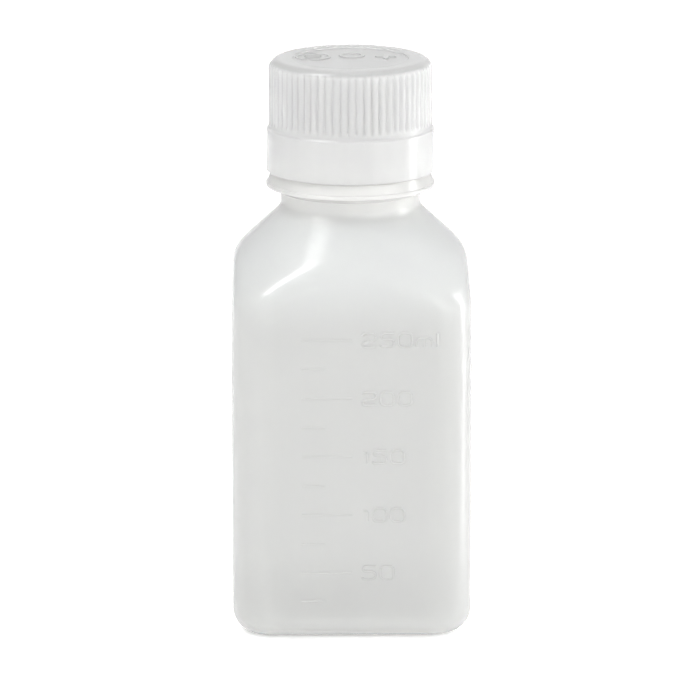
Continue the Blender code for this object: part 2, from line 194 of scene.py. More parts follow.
class Socket:
    """One output of a node, on which arithmetic adds Math nodes to its tree."""

    def __init__(self, tree, output):
        self.tree = tree
        self.output = output

    def math(self, operation, *others):
        node = self.tree.nodes.new("ShaderNodeMath")
        node.operation = operation
        for slot, value in zip(node.inputs, (self, *others)):
            connect(self.tree, value, slot)
        return Socket(self.tree, node.outputs[0])

    __add__, __radd__ = arithmetic("ADD", commutes=True)
    __sub__, __rsub__ = arithmetic("SUBTRACT")
    __mul__, __rmul__ = arithmetic("MULTIPLY", commutes=True)
    __truediv__, __rtruediv__ = arithmetic("DIVIDE")

    def __neg__(self):
        return self.math("MULTIPLY", -1.0)

    def clamp(self):
        return self.math("MINIMUM", 1.0).math("MAXIMUM", 0.0)

    def smooth(self):
        """The smooth step of a value from 0 to 1."""
        value = self.clamp()
        return value * value * (3.0 - 2.0 * value)


def constant(tree, value):
    node = tree.nodes.new("ShaderNodeValue")
    node.outputs[0].default_value = value
    return Socket(tree, node.outputs[0])


def connect(tree, value, target):
    """Link a Socket to a node's input, or write a plain value into it."""
    if isinstance(value, Socket):
        tree.links.new(value.output, target)
    else:
        target.default_value = value


class Tree:
    """A node tree, with one method that adds any node with its settings and inputs."""

    def __init__(self, tree):
        self.tree = tree

    def node(self, kind, settings=None, inputs=None, output=0):
        made = self.tree.nodes.new(kind)
        for name, value in (settings or {}).items():
            setattr(made, name, value)
        for name, value in (inputs or {}).items():
            connect(self.tree, value, made.inputs[name])
        return Socket(self.tree, made.outputs[output])

    def vector(self, **parts):
        return self.node("ShaderNodeCombineXYZ", {}, parts)


# ---- Materials -------------------------------------------------------------

class Finish(Tree):
    """A material whose Principled shader is fed by nodes on Object coordinates."""

    def __init__(self, name):
        self.material = bpy.data.materials.new(name)
        self.material.use_nodes = True
        super().__init__(self.material.node_tree)
        self.shader = self.tree.nodes["Principled BSDF"]
        self.place = self.node("ShaderNodeTexCoord", output="Object")

    def noise(self, scale, detail=3.0, stretch=(1.0, 1.0, 1.0)):
        """Noise from 0 to 1, its grain scale given in grains per metre."""
        place = self.node("ShaderNodeMapping", {}, {"Vector": self.place, "Scale": stretch})
        return self.node("ShaderNodeTexNoise", {},
                         {"Vector": place, "Scale": scale, "Detail": detail})

    def height(self):
        return self.node("ShaderNodeSeparateXYZ", {}, {"Vector": self.place}, output="Z")

    def blend(self, share, first, second):
        """A colour between two colours."""
        node = self.tree.nodes.new("ShaderNodeMix")
        node.data_type = "RGBA"
        connect(self.tree, share, node.inputs["Factor"])
        for value, slot in ((first, "A"), (second, "B")):
            target = [entry for entry in node.inputs
                      if entry.name == slot and entry.type == "RGBA"][0]
            connect(self.tree, value if isinstance(value, Socket) else (*value, 1.0), target)
        colour_out = [entry for entry in node.outputs if entry.type == "RGBA"][0]
        return Socket(self.tree, colour_out)

    def mottle(self, share, rgb, low, high):
        """A colour that wanders between a darker and a lighter shade of itself."""
        return self.blend(share, shade(rgb, low), shade(rgb, high))

    def bump(self, height, strength, distance, below=None):
        inputs = {"Height": height, "Strength": strength, "Distance": distance}
        if below is not None:
            inputs["Normal"] = below
        return self.node("ShaderNodeBump", {}, inputs, output="Normal")

    def scatter(self, weight, reach):
        """Let light travel inside the plastic, as far as reach."""
        self.feed(Subsurface_Weight=weight, Subsurface_Radius=(1.0, 1.0, 1.0),
                  Subsurface_Scale=reach)

    def feed(self, **inputs):
        """Set or link the shader's own sockets, by their names with _ for each space."""
        for name, value in inputs.items():
            connect(self.tree, value, self.shader.inputs[name.replace("_", " ")])


def shade(rgb, amount):
    return tuple(min(1.0, channel * amount) for channel in rgb)


SCATTER = 0.8                   # share of the light that travels inside the plastic
SCATTER_REACH = 6.0 * MM
BOTTLE_IOR = 1.53
CAP_IOR = 1.49
# The shoulder tint is painted light and a painted cool reflection; the neck tint is partly its own
# warmer tone, partly painted light.
SHOULDER_PAINTED_LIGHT = (78 * MM, 18 * MM)   # where a tint starts, and over what height it grows
NECK_TINT_AND_PAINTED_LIGHT = (103 * MM, 8 * MM)
# Painted shade: the cap's top is darkened in its colour from this depth up, softened over the fade,
# by the factor below.
PAINTED_TOP_SHADE_DEPTH = 2.0 * MM        # how far the darker top reaches down
PAINTED_TOP_SHADE_FADE = 1.2 * MM
CAP_TOP_PAINTED_SHADE = 0.74
FLOOR_GLOW = 0.3


def bottle_plastic(finishes):
    """Milky blown polyethylene: warmer in the thick neck, with soft streaks and a satin skin; the
    shoulder carries painted light and a painted cool reflection, and the neck is painted lighter, as
    painted light in the cap's shade.
    """
    finish = Finish("bottle_plastic")
    clouds = finish.noise(45.0, 3.0)
    streaks = finish.noise(220.0, 2.0, stretch=(1.0, 1.0, 0.05))
    painted_shoulder_light_share, neck_tint_and_light_share = [((finish.height() - start) / rise).smooth()
                                  for start, rise in (SHOULDER_PAINTED_LIGHT, NECK_TINT_AND_PAINTED_LIGHT)]
    sides = finish.mottle(clouds, finishes.bottle, 0.975, 1.02)
    sides = finish.blend(streaks * 0.35, sides, shade(finishes.bottle, 0.95))
    # painted light and a painted cool reflection on the shoulder
    sides = finish.blend(painted_shoulder_light_share, sides, tuple(finishes.shoulder))
    # the neck's warmer tone, lightened by painted light where the cap shades it
    finish.feed(Base_Color=finish.blend(neck_tint_and_light_share, sides, tuple(finishes.neck)))
    finish.feed(Roughness=0.20 + 0.06 * clouds)
    skin = finish.noise(1600.0, 2.0)
    waves = finish.noise(70.0, 1.0)
    normal = finish.bump(waves, 0.10, 0.0012)
    finish.feed(Normal=finish.bump(skin, 0.08, 0.00006, normal))
    finish.scatter(SCATTER, SCATTER_REACH)
    finish.feed(IOR=BOTTLE_IOR, Transmission_Weight=finishes.bottle_clearness)
    return finish.material


def cap_plastic(finishes):
    """Clearer moulded plastic: glossier, with faint flow lines that run down from the gate, and
    painted shade that darkens its top.
    """
    finish = Finish("cap_plastic")
    flow = finish.noise(260.0, 2.0, stretch=(1.0, 1.0, 0.12))
    clouds = finish.noise(90.0, 2.0)
    tint = finish.mottle(flow, finishes.cap, 0.965, 1.03)
    # painted shade on the cap's top
    painted_top_shade_share = ((finish.height() - CAP_HIGH.z + PAINTED_TOP_SHADE_DEPTH) / PAINTED_TOP_SHADE_FADE).smooth()
    finish.feed(Base_Color=finish.blend(painted_top_shade_share, tint, shade(finishes.cap, CAP_TOP_PAINTED_SHADE)))
    finish.feed(Roughness=0.17 + 0.05 * clouds)
    skin = finish.noise(1200.0, 2.0)
    finish.feed(Normal=finish.bump(skin, 0.05, 0.00004))
    finish.scatter(SCATTER, SCATTER_REACH)
    finish.feed(IOR=CAP_IOR, Transmission_Weight=finishes.cap_clearness)
    return finish.material


def liner_plastic(finishes):
    """Soft, dull polyethylene with a fine foamed grain."""
    finish = Finish("liner_plastic")
    grain = finish.noise(2400.0, 3.0)
    clouds = finish.noise(120.0, 2.0)
    finish.feed(Base_Color=finish.mottle(clouds, finishes.liner, 0.96, 1.03))
    finish.feed(Roughness=0.50 + 0.12 * grain)
    finish.feed(Normal=finish.bump(grain, 0.25, 0.00008))
    return finish.material


def floor_finish(finishes):
    finish = Finish("studio_floor")
    clouds = finish.noise(4.0, 3.0)
    finish.feed(Base_Color=finish.mottle(clouds, finishes.floor, 0.985, 1.0))
    finish.feed(Roughness=0.75 + 0.1 * clouds)
    finish.feed(Emission_Color=(1.0, 1.0, 1.0, 1.0), Emission_Strength=FLOOR_GLOW)
    return finish.material


def flag_finish(name, grey):
    """Dull cloth of the flags that stand beside the stage."""
    finish = Finish(name)
    weave = finish.noise(300.0, 2.0)
    finish.feed(Base_Color=finish.mottle(weave, (grey,) * 3, 0.9, 1.1))
    finish.feed(Roughness=0.8 + 0.1 * weave)
    return finish.material


# ---- Geometry node groups --------------------------------------------------

class Growth(Tree):
    """A geometry node group with named inputs, ending in Realize Instances and Set Material."""

    def __init__(self, name, sizes):
        group = bpy.data.node_groups.new(name, "GeometryNodeTree")
        super().__init__(group)
        group.interface.new_socket("Geometry", in_out="INPUT", socket_type="NodeSocketGeometry")
        group.interface.new_socket("Geometry", in_out="OUTPUT", socket_type="NodeSocketGeometry")
        for size in sizes:
            kind = "NodeSocketInt" if size == "Count" else "NodeSocketFloat"
            group.interface.new_socket(size, in_out="INPUT", socket_type=kind)
        group.interface.new_socket("Material", in_out="INPUT", socket_type="NodeSocketMaterial")
        self.names = sizes
        self.entry = group.nodes.new("NodeGroupInput")
        self.exit = group.nodes.new("NodeGroupOutput")

    def size(self, name):
        return Socket(self.tree, self.entry.outputs[name])

    def sizes(self):
        return [self.size(name) for name in self.names]

    def close(self, geometry):
        real = self.node("GeometryNodeRealizeInstances", {}, {"Geometry": geometry})
        done = self.node("GeometryNodeSetMaterial", {},
                         {"Geometry": real, "Material": self.size("Material")})
        self.tree.links.new(done.output, self.exit.inputs[0])

    def ridge(self, curve):
        """A ridge with sloping flanks along a flat curve, its root sunk into the wall."""
        relief, sunk = self.size("Relief"), self.size("Sunk")
        crest = self.size("Stroke") * 0.5
        root = crest + crest * (relief + sunk) / relief
        profile = self.node("GeometryNodeCurvePrimitiveQuadrilateral", {"mode": "TRAPEZOID"}, {
            "Bottom Width": crest, "Top Width": root, "Height": relief + sunk, "Offset": 0.0})
        raised = self.vector(Y=(sunk - relief) * 0.5)
        profile = self.node("GeometryNodeTransform", {},
                            {"Geometry": profile, "Translation": raised})
        even = self.node("GeometryNodeResampleCurve", {"mode": "LENGTH"},
                         {"Curve": curve, "Length": self.size("Step")})
        upright = self.node("GeometryNodeSetCurveNormal", {"mode": "Z_UP"}, {"Curve": even})
        return self.node("GeometryNodeCurveToMesh", {},
                         {"Curve": upright, "Profile Curve": profile, "Fill Caps": True})

    def point(self):
        """Angle, distance from the axis, height and the unit directions of a point."""
        position = self.node("GeometryNodeInputPosition")
        split = self.node("ShaderNodeSeparateXYZ", {}, {"Vector": position})
        x, y, z = [Socket(self.tree, split.output.node.outputs[index]) for index in range(3)]
        distance = (x * x + y * y).math("SQRT")
        return y.math("ARCTAN2", x), distance, z, x / distance, y / distance

    def push(self, amount, along_x, along_y):
        """Move every point away from the axis by an amount."""
        offset = self.vector(X=along_x * amount, Y=along_y * amount)
        return self.node("GeometryNodeSetPosition", {},
                         {"Geometry": self.size("Geometry"), "Offset": offset})


WALL_TOLERANCE = 0.1 * MM       # how near to the wall's radius a point is taken to lie on it
CORNER_POINTS = 4


def thread_group():
    """Raises a right-hand helical ridge out of a fine round wall."""
    group = Growth("helical_thread", ["Wall radius", "Depth", "Pitch", "Turns", "Bottom",
                                      "Start angle", "Base width", "Crest width", "Fade turns"])
    wall, depth, pitch, turns, bottom, start, base_width, crest_width, fade_turns = group.sizes()
    angle, distance, height, along_x, along_y = group.point()
    part_turn = ((angle - start) / (2 * math.pi)).math("FRACT")
    climbed = height - bottom - pitch * part_turn
    whole_turns = (climbed / pitch).math("ROUND")
    turn = part_turn + whole_turns
    off_centre = (climbed - pitch * whole_turns).math("ABSOLUTE")
    base, crest = base_width * 0.5, crest_width * 0.5
    ridge = ((base - off_centre) / (base - crest)).smooth()
    fade = (turn.math("MINIMUM", turns - turn) / fade_turns).smooth()
    on_wall = (distance - wall).math("ABSOLUTE").math("LESS_THAN", WALL_TOLERANCE)
    group.close(group.push(depth * ridge * fade * on_wall, along_x, along_y))
    return group.tree


def rib_group():
    """Sinks even upright grooves into a turned skirt; they run out above its smooth part."""
    group = Growth("grip_ribs", ["Count", "Root radius", "Root foot", "Foot slope",
                                 "Groove share", "Lowest"])
    ribs, root_radius, root_foot, foot_slope, groove_share, lowest = group.sizes()
    angle, distance, height, along_x, along_y = group.point()
    place = (angle * ribs / (2 * math.pi)).math("FRACT")
    off_centre = (place - 0.5).math("ABSOLUTE")
    half_share = groove_share * 0.5
    groove = ((half_share - off_centre) / half_share).smooth()
    root = root_radius + (root_foot - height).math("MAXIMUM", 0.0) / foot_slope
    cut = (distance - root).math("MAXIMUM", 0.0)
    outside = height.math("GREATER_THAN", lowest)
    group.close(group.push(-(cut * groove * outside), along_x, along_y))
    return group.tree


def line_group():
    """Repeats one raised line upwards at an even spacing."""
    group = Growth("graduation_lines", ["Count", "Spacing", "Length", "Left", "Lowest",
                                        "Stroke", "Relief", "Sunk", "Step"])
    lines, spacing, long, left, lowest = group.sizes()[:5]
    line = group.ridge(group.node("GeometryNodeCurvePrimitiveLine", {}, {
        "Start": group.vector(X=left), "End": group.vector(X=left + long)}))
    ladder = group.node("GeometryNodeMeshLine", {"mode": "OFFSET"}, {
        "Count": lines, "Start Location": group.vector(Y=lowest),
        "Offset": group.vector(Y=spacing)})
    group.close(group.node("GeometryNodeInstanceOnPoints", {},
                           {"Points": ladder, "Instance": line}))
    return group.tree


def stroke_group():
    """Turns drawn strokes into raised ridges with rounded corners."""
    group = Growth("raised_strokes", ["Stroke", "Relief", "Sunk", "Step", "Corner"])
    rounded = group.node("GeometryNodeFilletCurve", {"mode": "POLY"}, {
        "Curve": group.size("Geometry"), "Count": CORNER_POINTS, "Radius": group.size("Corner"),
        "Limit Radius": True})
    group.close(group.ridge(rounded))
    return group.tree


def grow(piece, group, material, sizes):
    """Run a node group on a piece with its sizes set by identifier, and keep the plain mesh."""
    modifier = piece.modifiers.new(group.name, "NODES")
    modifier.node_group = group
    for item in group.interface.items_tree:
        if item.in_out == "INPUT" and item.name in sizes:
            whole = item.socket_type == "NodeSocketInt"
            modifier[item.identifier] = int(sizes[item.name]) if whole else float(sizes[item.name])
        elif item.in_out == "INPUT" and item.name == "Material":
            modifier[item.identifier] = material
    return bake(piece)


def bake(piece):
    """Replace a piece's mesh by its evaluated one and drop its modifiers."""
    graph = bpy.context.evaluated_depsgraph_get()
    graph.update()
    mesh = bpy.data.meshes.new_from_object(piece.evaluated_get(graph))
    if piece.type == "MESH":
        piece.modifiers.clear()
        piece.data = mesh
        return piece
    name = piece.name
    bpy.data.objects.remove(piece, do_unlink=True)
    return placed(name, mesh)


# ---- Meshes ----------------------------------------------------------------

SHARP_ANGLE = math.radians(32.0)


def placed(name, data):
    made = bpy.data.objects.new(name, data)
    bpy.context.scene.collection.objects.link(made)
    return made


def piece_from(name, shape, material):
    bmesh.ops.recalc_face_normals(shape, faces=shape.faces)
    mesh = bpy.data.meshes.new(name)
    shape.to_mesh(mesh)
    shape.free()
    mesh.materials.append(material)
    return placed(name, mesh)


def band(shape, lower, upper):
    """Faces between two rings of equal point count."""
    for index in range(len(lower)):
        following = (index + 1) % len(lower)
        shape.faces.new((lower[index], lower[following], upper[following], upper[index]))


def skin(name, rings, material):
    """Skin rings of equal point count into one closed surface, each end closed by a fan."""
    shape = bmesh.new()
    rows = [[shape.verts.new(point) for point in ring] for ring in np.array(rings)]
    around = len(rows[0])
    for lower, upper in zip(rows, rows[1:]):
        band(shape, lower, upper)
    for row in (rows[0], rows[-1]):
        centre = shape.verts.new(sum((corner.co for corner in row), Vector()) / around)
        for index in range(around):
            shape.faces.new((row[index], row[(index + 1) % around], centre))
    return piece_from(name, shape, material)


def smooth_piece(piece):
    piece.data.shade_smooth()
    piece.data.set_sharp_from_angle(angle=SHARP_ANGLE)


def fuse(piece, relief, crossing=False):
    """Unite a piece with raised relief, and drop the relief's own object.

    Crossing says that parts of the piece or of the relief run through each other."""
    union = piece.modifiers.new("relief", "BOOLEAN")
    union.operation = "UNION"
    union.solver = "EXACT"
    union.use_self = crossing
    union.object = relief
    bake(piece)
    bpy.data.objects.remove(relief, do_unlink=True)


def round_ring(height, radius, around):
    turn = np.linspace(0.0, 2 * math.pi, around, endpoint=False)
    return np.stack([radius * np.cos(turn), radius * np.sin(turn), np.full(around, height)], 1)


def turned(profile, around):
    return [round_ring(height, radius, around) for radius, height in profile]


def arc(centre, radius, first, last, steps):
    """Points (distance from axis, height) of an arc between two angles in degrees."""
    turns = np.radians(np.linspace(first, last, steps + 1))
    return [(centre[0] + radius * math.cos(turn), centre[1] + radius * math.sin(turn))
            for turn in turns]


def stretch_between(start, end, step):
    """Points along a straight profile line, no further apart than step, without the last one."""
    parts = max(1, math.ceil(math.dist(start, end) / step))
    shares = np.arange(parts) / parts
    return [tuple(np.array(start) + (np.array(end) - np.array(start)) * share)
            for share in shares]


# ---- The blown body --------------------------------------------------------

def smooth_min(a, b, blend):
    share = np.clip(0.5 + 0.5 * (b - a) / blend, 0.0, 1.0)
    return b + (a - b) * share - blend * share * (1.0 - share)


def smooth_max(a, b, blend):
    return -smooth_min(-a, -b, blend)


def rounded_square(angles, half_width, corner_radius):
    """Distances from the axis to a rounded square's outline, one for each direction."""
    from_face = np.abs((angles + math.pi / 4) % (math.pi / 2) - math.pi / 4)
    cosine, sine = np.cos(from_face), np.sin(from_face)
    flat_end = half_width - corner_radius
    reach = flat_end * (cosine + sine)
    corner = reach + np.sqrt(np.maximum(reach ** 2 - 2 * flat_end ** 2 + corner_radius ** 2, 0.0))
    flat = half_width / cosine
    return np.where(flat * sine <= flat_end, flat, corner)


class BodyShape:
    """The bottle's own formulas: how wide it is in every direction at every height."""

    AROUND_OCTANT = 30
    CROWDING = 1.25
    BOW_SHARE = 0.8             # part of the height to the shoulder's top that is bowed

    def __init__(self, sizes, neck):
        self.sizes = sizes
        self.neck = neck
        shares = np.arange(2 * self.AROUND_OCTANT) / self.AROUND_OCTANT - 1.0
        bends = np.sign(shares) * (1.0 - (1.0 - np.abs(shares)) ** self.CROWDING)
        self.angles = np.concatenate([face * math.pi / 2 + bends * math.pi / 4
                                      for face in range(4)])

    def half_width(self, height):
        sizes = self.sizes
        widest = sizes.widest * sizes.shoulder_top
        fall = max(0.0, widest - height) / widest
        rise = max(0.0, height - widest) / (sizes.shoulder_top - widest)
        return sizes.width / 2 - sizes.taper * fall - sizes.upper_taper * rise ** 2

    def bow(self, angle, height):
        """How far a flat side has sunk in at a place: most in its middle, not at its corners."""
        along = np.sin(math.pi * np.clip(height / (self.BOW_SHARE * self.sizes.shoulder_top),
                                         0.0, 1.0))
        return self.sizes.panel_bow * np.cos(2 * angle) ** 2 * along

    def front(self, across, height):
        """Distance of the front face from the axis at a place on it."""
        face = self.half_width(height)
        return face - self.bow(math.atan2(face, across), height)

    def ring(self, height, radii):
        return np.stack([radii * np.cos(self.angles), radii * np.sin(self.angles),
                         np.full(len(self.angles), height)], 1)

    def square(self, height, inset, corner_inset=None):
        corner = self.sizes.corner_radius - (inset if corner_inset is None else corner_inset)
        half_width = self.half_width(height) - inset
        return self.ring(height, rounded_square(self.angles, half_width, corner))

    def side(self, height, wall, neck_radius):
        """A ring of the side, shoulder or neck, with each flat side sunk a little in its middle."""
        sizes = self.sizes
        flats = rounded_square(self.angles, self.half_width(height) - wall,
                               sizes.corner_radius - wall)
        cone = (self.neck.radius - wall / math.cos(sizes.shoulder_angle)
                + (sizes.shoulder_top - height) * math.tan(sizes.shoulder_angle))
        radii = smooth_max(smooth_min(flats, cone, sizes.shoulder_blend),
                           neck_radius, self.neck.fillet)
        return self.ring(height, radii - self.bow(self.angles, height))

    def base_edge(self, bottom, wall, radius, steps):
        rings = []
        for turn in np.linspace(0.0, math.pi / 2, steps + 1):
            height = bottom + radius * (1.0 - math.cos(turn))
            rings.append(self.square(height, wall + radius * (1.0 - math.sin(turn))))
        return rings


SIDE_STEP = 1.5 * MM
INNER_STEP = 3                  # the inner skin takes every third ring of the outer one
INNER_START = 7 * MM            # height over the floor at which the inner side's rings start
SHOULDER_STEP = 0.7 * MM
THREAD_STEP = 0.25 * MM
BEAD_STEP = 0.5 * MM
EDGE_STEPS = 8
BEAD_EDGE = 0.4 * MM            # rounding of the bead's edges
BEAD_MIDDLE = 0.45              # height of the bead's rim, as a part of the bead's height
RIM_ROUND = 0.5 * MM
RECESS_REACH = 14 * MM          # how far the rings of the base recess reach inwards
DIAGONAL_REACH = 0.64           # half the rounded diagonal, as a part of the body's width


def neck_profile(neck, bottle_top, skirt_radius):
    """(distance, height) along the outside of the neck and over the sealing rim into the bore."""
    bead_bottom = bottle_top["bead_bottom"]
    rim = bottle_top["rim"]
    radius = neck.radius
    bore = radius - neck.wall
    outer = skirt_radius + neck.bead_overhang
    middle = bead_bottom + neck.bead_height * BEAD_MIDDLE
    half_rim = neck.bead_rim / 2
    edge, turn = BEAD_EDGE, RIM_ROUND
    points = stretch_between((radius, bead_bottom), (outer - edge, middle - half_rim), BEAD_STEP)
    points += arc((outer - edge, middle - half_rim + edge), edge, -90, 0, 5)
    points += arc((outer - edge, middle + half_rim - edge), edge, 0, 90, 5)
    land = CAP_LOW.z - neck.bead_gap
    lip = skirt_radius - neck.bead_lip
    points += stretch_between((outer - edge, middle + half_rim), (lip, land - edge), BEAD_STEP)[1:]
    points += arc((lip - edge, land - edge), edge, 0, 90, 5)
    points += stretch_between((lip - edge, land), (radius + edge, land), BEAD_STEP)[1:]
    points += stretch_between((radius, land + edge), (radius, rim - turn), THREAD_STEP)
    points += arc((radius - turn, rim - turn), turn, 0, 90, 5)
    points += arc((bore + turn, rim - turn), turn, 90, 180, 5)
    return points


def body_rings(shape, neck, top, skirt_radius):
    """All rings of the bottle, from the base recess over the outside and the rim to the floor."""
    sizes = shape.sizes
    flat = sizes.base_edge_radius
    recess = flat + sizes.standing_band
    depth = sizes.recess_depth
    rings = [shape.square(depth, inset, flat)
             for inset in np.linspace(recess + RECESS_REACH, recess + depth, 6)]
    rings += [shape.square(depth * (1 - share) ** 2, recess + depth * (1 - share), flat)
              for share in (0.25, 0.5, 0.75, 1.0)]
    rings += shape.base_edge(0.0, 0.0, sizes.base_edge_radius, EDGE_STEPS)
    reach = sizes.width * DIAGONAL_REACH + sizes.shoulder_blend - neck.radius
    low = sizes.shoulder_top - reach / math.tan(sizes.shoulder_angle)
    high = top["bead_bottom"]
    heights = list(np.arange(sizes.base_edge_radius + SIDE_STEP, low, SIDE_STEP))
    heights += list(np.arange(low, sizes.shoulder_top + neck.fillet, SHOULDER_STEP))
    heights += list(np.linspace(sizes.shoulder_top + neck.fillet, high, 5)[:-1])
    rings += [shape.side(height, 0.0, neck.radius) for height in heights]
    rings += [shape.ring(height, np.full(len(shape.angles), radius))
              for radius, height in neck_profile(neck, top, skirt_radius)]
    bore = neck.radius - neck.wall
    floor = depth + sizes.wall
    inner = [height for height in heights if height > floor + INNER_START]
    inner = [height for index, height in enumerate(inner)
             if height > low or index % INNER_STEP == 0]
    rings += [shape.side(height, sizes.wall, bore) for height in reversed(inner)]
    rings += reversed(shape.base_edge(floor, sizes.wall, sizes.base_edge_radius - sizes.wall,
                                      EDGE_STEPS))
    return rings


# ---- Relief: lines, numbers and mould marks --------------------------------

MARK_SINK = 0.3 * MM            # how deep the root of a raised mark is joined to its wall
MARK_STEP = 0.3 * MM            # spacing of the points along a line or stroke
NUMBER_ROUNDING = 0.3           # corner radius, as a part of the numbers' height
WELD = 0.001 * MM

# Strokes of the numbers and letters: width, whether they close, and their corners in a box that
# is one high.
STROKES = {
    "0": (1.0, True, [[(0, 0), (1, 0), (1, 1), (0, 1)]]),
    "1": (0.45, False, [[(0.1, 0.78), (0.4, 1), (0.4, 0)]]),
    "2": (1.0, False, [[(0, 0.82), (0.12, 1), (1, 1), (1, 0.52), (0, 0.3), (0, 0), (1, 0)]]),
    "5": (1.0, False, [[(1, 1), (0.08, 1), (0.02, 0.58), (1, 0.58), (1, 0), (0, 0), (0, 0.14)]]),
    "m": (1.15, False, [[(0, 0), (0, 0.66), (1.15, 0.66), (1.15, 0)],
                        [(0.575, 0.66), (0.575, 0)]]),
    "l": (0.12, False, [[(0.06, 1), (0.06, 0)]]),
}


def drawn(labels, marks):
    """All labels as one flat curve of straight strokes; each label is (words, middle height)."""
    curve = bpy.data.curves.new("numbers", "CURVE")
    curve.dimensions = "3D"
    for words, middle in labels:
        left = marks.numbers_left
        for letter in words:
            width, closed, strokes = STROKES[letter]
            for stroke in strokes:
                spline = curve.splines.new("POLY")
                spline.points.add(len(stroke) - 1)
                spline.use_cyclic_u = closed
                for point, (across, up) in zip(spline.points, stroke):
                    point.co = (left + across * marks.number_width,
                                middle + (up - 0.5) * marks.number_height, 0.0, 1.0)
            left += width * marks.number_width + marks.number_gap
    return placed("numbers", curve)


def laid_on_front(piece, shape):
    """Stand flat relief up on the -Y face: its up becomes Z, its thickness follows the face."""
    for corner in piece.data.vertices:
        across, up, out = corner.co
        corner.co = (across, -shape.front(across, up) - out, up)
    return piece


def joined(pieces):
    """Unite several relief meshes, which may cross each other, in the first one's object."""
    kept, carrier, *others = pieces
    shape = bmesh.new()
    for piece in (carrier, *others):
        shape.from_mesh(piece.data)
    shape.to_mesh(carrier.data)
    shape.free()
    for piece in others:
        bpy.data.objects.remove(piece, do_unlink=True)
    fuse(kept, carrier, crossing=True)
    return kept


# ---- Operators -------------------------------------------------------------

THREAD_FADE = 0.12              # turns over which a thread's ends come out of its wall


def thread_sizes(neck, wall, depth, turns, bottom, angle):
    return {"Wall radius": wall, "Depth": depth, "Pitch": LIFT_PER_TURN, "Turns": turns,
            "Bottom": bottom, "Start angle": angle, "Base width": neck.thread_base,
            "Crest width": neck.thread_crest, "Fade turns": THREAD_FADE}


def scene_sizes(context):
    return context.scene.lab_bottle


def top_heights(groups):
    """Heights on the neck that bottle and cap share."""
    bead_bottom = groups.body.shoulder_top + groups.neck.stub
    bead_top = bead_bottom + groups.neck.bead_height
    rim = BOTTLE_HIGH.z
    thread_bottom = bead_top + groups.neck.thread_start
    thread_turns = (rim - groups.neck.thread_end - thread_bottom) / LIFT_PER_TURN
    return {"bead_bottom": bead_bottom, "rim": rim,
            "thread_bottom": thread_bottom, "thread_turns": thread_turns}


def graduation_height(groups, volume):
    """Height of a volume in millilitres, from the area of the inner section."""
    body = groups.body
    inner_width = body.width - body.taper - 2 * body.wall
    inner_corner = body.corner_radius - body.wall
    area = inner_width ** 2 - (4.0 - math.pi) * inner_corner ** 2
    return groups.marks.zero + volume * MILLILITRE / area


class LABBOTTLE_OT_bottle(bpy.types.Operator):
    """Build the blown bottle with its neck thread, bead and raised graduations"""
    bl_idname = "lab_bottle.bottle"
    bl_label = "Bottle"

    def execute(self, context):
        groups = scene_sizes(context)
        body, neck = groups.body, groups.neck
        top = top_heights(groups)
        material = bottle_plastic(groups.finishes)
        rings = body_rings(BodyShape(body, neck), neck, top, CAP_HIGH.x)
        bottle = skin("bottle_shell", rings, material)
        grow(bottle, thread_group(), material, thread_sizes(
            neck, neck.radius, neck.thread_depth, top["thread_turns"], top["thread_bottom"],
            neck.thread_angle))
        fuse(bottle, self.graduations(groups, material))
        smooth_piece(bottle)
        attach(bottle, "bottle")
        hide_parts("bottle")
        return {"FINISHED"}

    def graduations(self, groups, material):
        """Lines and numbers on the -Y face as one relief."""
        marks = groups.marks
        shape = BodyShape(groups.body, groups.neck)
        spacing = graduation_height(groups, marks.long_step) - graduation_height(groups, 0)
        steps = marks.capacity // marks.long_step
        ridge = {"Stroke": marks.stroke, "Relief": marks.relief, "Sunk": MARK_SINK,
                 "Step": MARK_STEP}
        group = line_group()
        reliefs = []
        for line, first in ((marks.long_line, marks.long_step),
                            (marks.short_line, marks.long_step / 2)):
            lines = piece_from("lines", bmesh.new(), material)
            reliefs.append(grow(lines, group, material, {
                "Count": steps, "Spacing": spacing, "Length": line, "Left": marks.left_end,
                "Lowest": graduation_height(groups, first), **ridge,
                "Relief": marks.line_relief}))
        volumes = [marks.long_step * step for step in range(1, steps + 1)]
        labels = [(f"{volume}ml" if volume == marks.capacity else f"{volume}",
                   graduation_height(groups, volume)) for volume in volumes]
        reliefs.append(grow(drawn(labels, marks), stroke_group(), material,
                            {"Corner": marks.number_height * NUMBER_ROUNDING, **ridge}))
        for relief in reliefs:
            shape_of = bmesh.new()
            shape_of.from_mesh(laid_on_front(relief, shape).data)
            bmesh.ops.remove_doubles(shape_of, verts=shape_of.verts, dist=WELD)
            bmesh.ops.recalc_face_normals(shape_of, faces=shape_of.faces)
            shape_of.to_mesh(relief.data)
            shape_of.free()
        return joined(reliefs)


